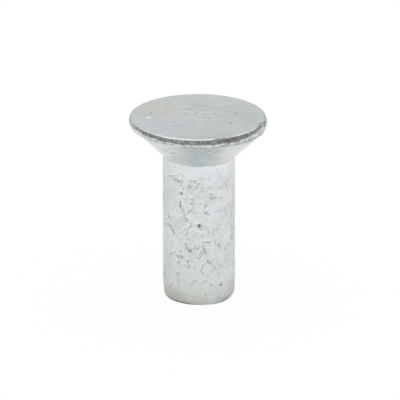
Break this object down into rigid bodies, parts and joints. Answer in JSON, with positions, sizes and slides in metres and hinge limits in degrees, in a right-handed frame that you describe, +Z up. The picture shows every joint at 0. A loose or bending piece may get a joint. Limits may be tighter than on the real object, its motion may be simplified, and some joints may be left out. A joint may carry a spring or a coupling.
{
  "type": "solid rivet",
  "caption": "Solid rivet with a flat ninety degree countersunk head on a plain round shank, drawn in at the tail, cold headed steel with a pale zinc finish.",
  "frame": {"origin": "centre of the flat tail end, on the shank's axis; the rivet stands on it", "axes": "+Z up the shank to the flat of the head; the head's rim band is narrowest towards -X and deepest towards +X"},
  "size_m": [0.0118, 0.0118, 0.016],
  "materials": {
    "zinc": "bright zinc plate on steel, satin, with a faint blue and straw tint"
  },
  "bodies": {
    "root": {"rivet": "zinc"}
  },
  "joints": []
}
